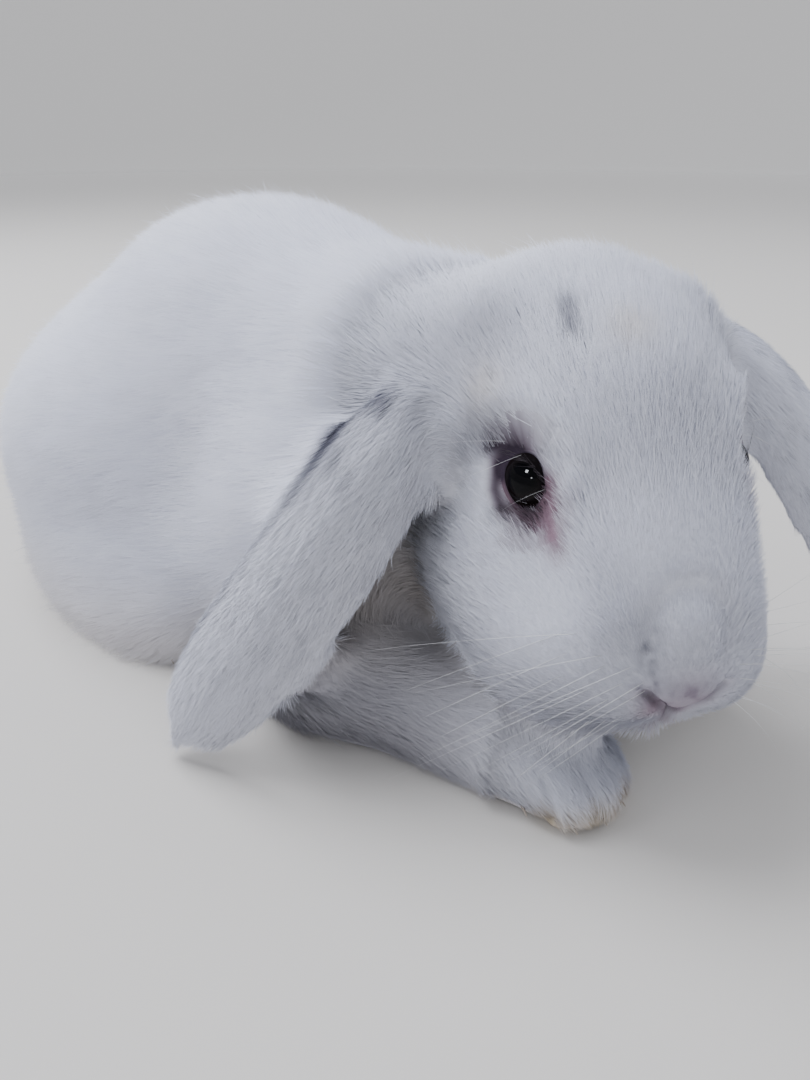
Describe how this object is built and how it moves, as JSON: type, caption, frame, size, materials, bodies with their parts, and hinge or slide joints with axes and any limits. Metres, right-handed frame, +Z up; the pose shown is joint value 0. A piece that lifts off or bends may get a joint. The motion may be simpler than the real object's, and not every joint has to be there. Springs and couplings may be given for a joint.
{
  "type": "lop rabbit",
  "caption": "Crouched white lop rabbit at life size, head turned aside, ears hanging, as a still museum display model.",
  "frame": {"origin": "on the floor, under the middle of the rectangle that the whole animal covers", "axes": "+Z up, +X from the rump towards the breast and head, +Y to the animal's left"},
  "size_m": [0.313, 0.1908, 0.1249],
  "materials": {
    "trunk": "soft white coat",
    "neck": "soft white coat",
    "head": "short white coat",
    "eye_left": "wet gloss",
    "eye_right": "wet gloss",
    "ear_left": "short white coat, greyish along one edge",
    "ear_right": "short white coat, greyish along one edge",
    "foreleg_left": "short white coat",
    "foreleg_right": "short white coat",
    "forepaw_left": "short coat, creamy at the toes",
    "forepaw_right": "short coat, creamy at the toes",
    "haunch_left": "soft white coat",
    "haunch_right": "soft white coat",
    "hind_foot_left": "short coat, creamy at the toes",
    "hind_foot_right": "short coat, creamy at the toes",
    "tail": "fluffy white coat"
  },
  "bodies": {
    "root": {"trunk": "trunk", "neck": "neck", "head": "head", "eye_left": "eye_left", "eye_right": "eye_right", "ear_left": "ear_left", "ear_right": "ear_right", "foreleg_left": "foreleg_left", "foreleg_right": "foreleg_right", "forepaw_left": "forepaw_left", "forepaw_right": "forepaw_right", "haunch_left": "haunch_left", "haunch_right": "haunch_right", "hind_foot_left": "hind_foot_left", "hind_foot_right": "hind_foot_right", "tail": "tail"}
  },
  "joints": []
}
